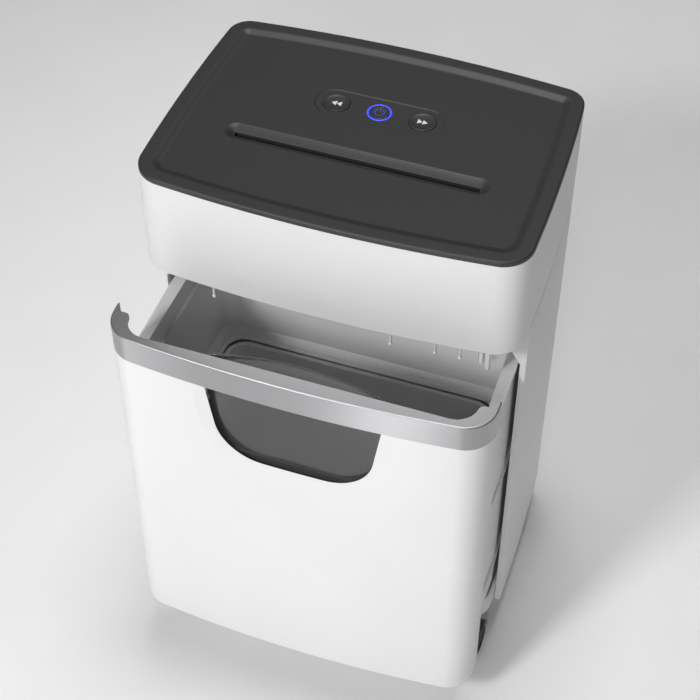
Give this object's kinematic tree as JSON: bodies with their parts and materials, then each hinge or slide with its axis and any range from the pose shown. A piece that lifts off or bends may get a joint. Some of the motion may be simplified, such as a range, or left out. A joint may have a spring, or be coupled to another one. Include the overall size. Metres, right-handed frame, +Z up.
{
  "type": "paper shredder",
  "caption": "Upright paper shredder on castors: dark top deck with paper slot and buttons, white cabinet, pull-out bin with silver handle band, geared cutter unit inside.",
  "frame": {"origin": "on the floor under the middle of the part's box, with the bin part of the way out", "axes": "+Z up, -Y the front that the bin slides towards, +X to the right seen from the front"},
  "size_m": [0.3472, 0.33, 0.562],
  "materials": {
    "white_plastic": "satin moulded white",
    "tray_plastic": "satin moulded light grey",
    "charcoal_plastic": "fine matt charcoal",
    "silver_coat": "satin silver coating",
    "bin_plastic": "satin moulded grey",
    "clear_plastic": "clear moulded",
    "ring_light": "lit blue",
    "black_plastic": "moulded black",
    "castor_nylon": "moulded black nylon",
    "castor_tread": "moulded black nylon",
    "steel": "bright zinc-plated",
    "cutter_steel": "oiled hardened",
    "bush_bronze": "sintered bronze",
    "gear_nylon": "natural nylon",
    "motor_paint": "black coated steel can",
    "board_green": "green solder mask"
  },
  "bodies": {
    "cabinet": {"cabinet_shell": "white_plastic", "base_tray": "tray_plastic", "left_runner": "black_plastic", "right_runner": "black_plastic", "head_cover": "white_plastic", "cord_gland": "black_plastic", "top_deck": "charcoal_plastic", "light_ring": "ring_light", "control_board": "board_green", "button_switches": "black_plastic", "throat_guide": "black_plastic", "paper_sensor": "black_plastic", "lower_guard": "bin_plastic", "head_screws": "steel", "base_screws": "steel", "bin_switch": "black_plastic", "left_side_plate": "steel", "right_side_plate": "steel", "tie_rods": "steel", "shaft_bushes": "bush_bronze", "front_stripper": "black_plastic", "rear_stripper": "black_plastic", "gear_pins": "steel", "gear_cover": "black_plastic", "motor": "motor_paint"},
    "bin": {"bin_tub": "bin_plastic", "front_panel": "white_plastic", "handle_band": "silver_coat", "window_cup": "clear_plastic"},
    "reverse_button": {"reverse_button": "charcoal_plastic"},
    "power_button": {"power_button": "charcoal_plastic"},
    "forward_button": {"forward_button": "charcoal_plastic"},
    "rear_cutter": {"rear_cutter_shaft": "steel", "rear_cutter_discs": "cutter_steel", "rear_timing_gear": "steel", "drive_gear": "steel"},
    "front_cutter": {"front_cutter_shaft": "steel", "front_cutter_discs": "cutter_steel", "front_timing_gear": "steel"},
    "second_gear": {"second_gear": "gear_nylon"},
    "first_gear": {"first_gear": "gear_nylon"},
    "motor_rotor": {"motor_shaft": "steel"},
    "front_left_castor": {"front_left_castor_hood": "castor_nylon"},
    "front_left_wheels": {"front_left_castor_wheels": "castor_tread", "front_left_castor_axle": "steel"},
    "front_right_castor": {"front_right_castor_hood": "castor_nylon"},
    "front_right_wheels": {"front_right_castor_wheels": "castor_tread", "front_right_castor_axle": "steel"},
    "rear_left_castor": {"rear_left_castor_hood": "castor_nylon"},
    "rear_left_wheels": {"rear_left_castor_wheels": "castor_tread", "rear_left_castor_axle": "steel"},
    "rear_right_castor": {"rear_right_castor_hood": "castor_nylon"},
    "rear_right_wheels": {"rear_right_castor_wheels": "castor_tread", "rear_right_castor_axle": "steel"}
  },
  "joints": [
    {"name": "bin_slide", "type": "slide", "parent": "cabinet", "child": "bin", "axis": [0, -1, 0], "range_m": [-0.083, 0.087]},
    {"name": "reverse_press", "type": "slide", "parent": "cabinet", "child": "reverse_button", "axis": [0, 0, -1], "range_m": [0, 0.0012], "stiffness_N_per_m": 800, "springref_m": -0.0006},
    {"name": "power_press", "type": "slide", "parent": "cabinet", "child": "power_button", "axis": [0, 0, -1], "range_m": [0, 0.0012], "stiffness_N_per_m": 800, "springref_m": -0.0006},
    {"name": "forward_press", "type": "slide", "parent": "cabinet", "child": "forward_button", "axis": [0, 0, -1], "range_m": [0, 0.0012], "stiffness_N_per_m": 800, "springref_m": -0.0006},
    {"name": "rear_cutter_spin", "type": "hinge", "parent": "cabinet", "child": "rear_cutter", "pos_m": [0, 0.02792, 0.494], "axis": [1, 0, 0], "continuous": true},
    {"name": "front_cutter_spin", "type": "hinge", "parent": "cabinet", "child": "front_cutter", "pos_m": [0, -0.00808, 0.494], "axis": [1, 0, 0], "continuous": true},
    {"name": "second_gear_spin", "type": "hinge", "parent": "cabinet", "child": "second_gear", "pos_m": [0, 0.07139, 0.50565], "axis": [1, 0, 0], "continuous": true},
    {"name": "first_gear_spin", "type": "hinge", "parent": "cabinet", "child": "first_gear", "pos_m": [0, 0.1034, 0.5], "axis": [1, 0, 0], "continuous": true},
    {"name": "motor_spin", "type": "hinge", "parent": "cabinet", "child": "motor_rotor", "pos_m": [0, 0.12408, 0.51736], "axis": [1, 0, 0], "continuous": true},
    {"name": "front_left_swivel", "type": "hinge", "parent": "cabinet", "child": "front_left_castor", "pos_m": [-0.152, -0.05308, 0.046], "axis": [0, 0, 1], "continuous": true},
    {"name": "front_left_roll", "type": "hinge", "parent": "front_left_castor", "child": "front_left_wheels", "pos_m": [-0.152, -0.06807, 0.017], "axis": [1, 0, 0], "continuous": true},
    {"name": "front_right_swivel", "type": "hinge", "parent": "cabinet", "child": "front_right_castor", "pos_m": [0.152, -0.05308, 0.046], "axis": [0, 0, 1], "continuous": true},
    {"name": "front_right_roll", "type": "hinge", "parent": "front_right_castor", "child": "front_right_wheels", "pos_m": [0.152, -0.06807, 0.017], "axis": [1, 0, 0], "continuous": true},
    {"name": "rear_left_swivel", "type": "hinge", "parent": "cabinet", "child": "rear_left_castor", "pos_m": [-0.152, 0.11693, 0.046], "axis": [0, 0, 1], "continuous": true},
    {"name": "rear_left_roll", "type": "hinge", "parent": "rear_left_castor", "child": "rear_left_wheels", "pos_m": [-0.152, 0.10193, 0.017], "axis": [1, 0, 0], "continuous": true},
    {"name": "rear_right_swivel", "type": "hinge", "parent": "cabinet", "child": "rear_right_castor", "pos_m": [0.152, 0.11693, 0.046], "axis": [0, 0, 1], "continuous": true},
    {"name": "rear_right_roll", "type": "hinge", "parent": "rear_right_castor", "child": "rear_right_wheels", "pos_m": [0.152, 0.10193, 0.017], "axis": [1, 0, 0], "continuous": true}
  ],
  "couplings": [
    {"joint": "front_cutter_spin", "follows": "rear_cutter_spin", "ratio": -1},
    {"joint": "second_gear_spin", "follows": "rear_cutter_spin", "ratio": -4},
    {"joint": "first_gear_spin", "follows": "rear_cutter_spin", "ratio": 13.333},
    {"joint": "motor_spin", "follows": "rear_cutter_spin", "ratio": -58.667}
  ]
}
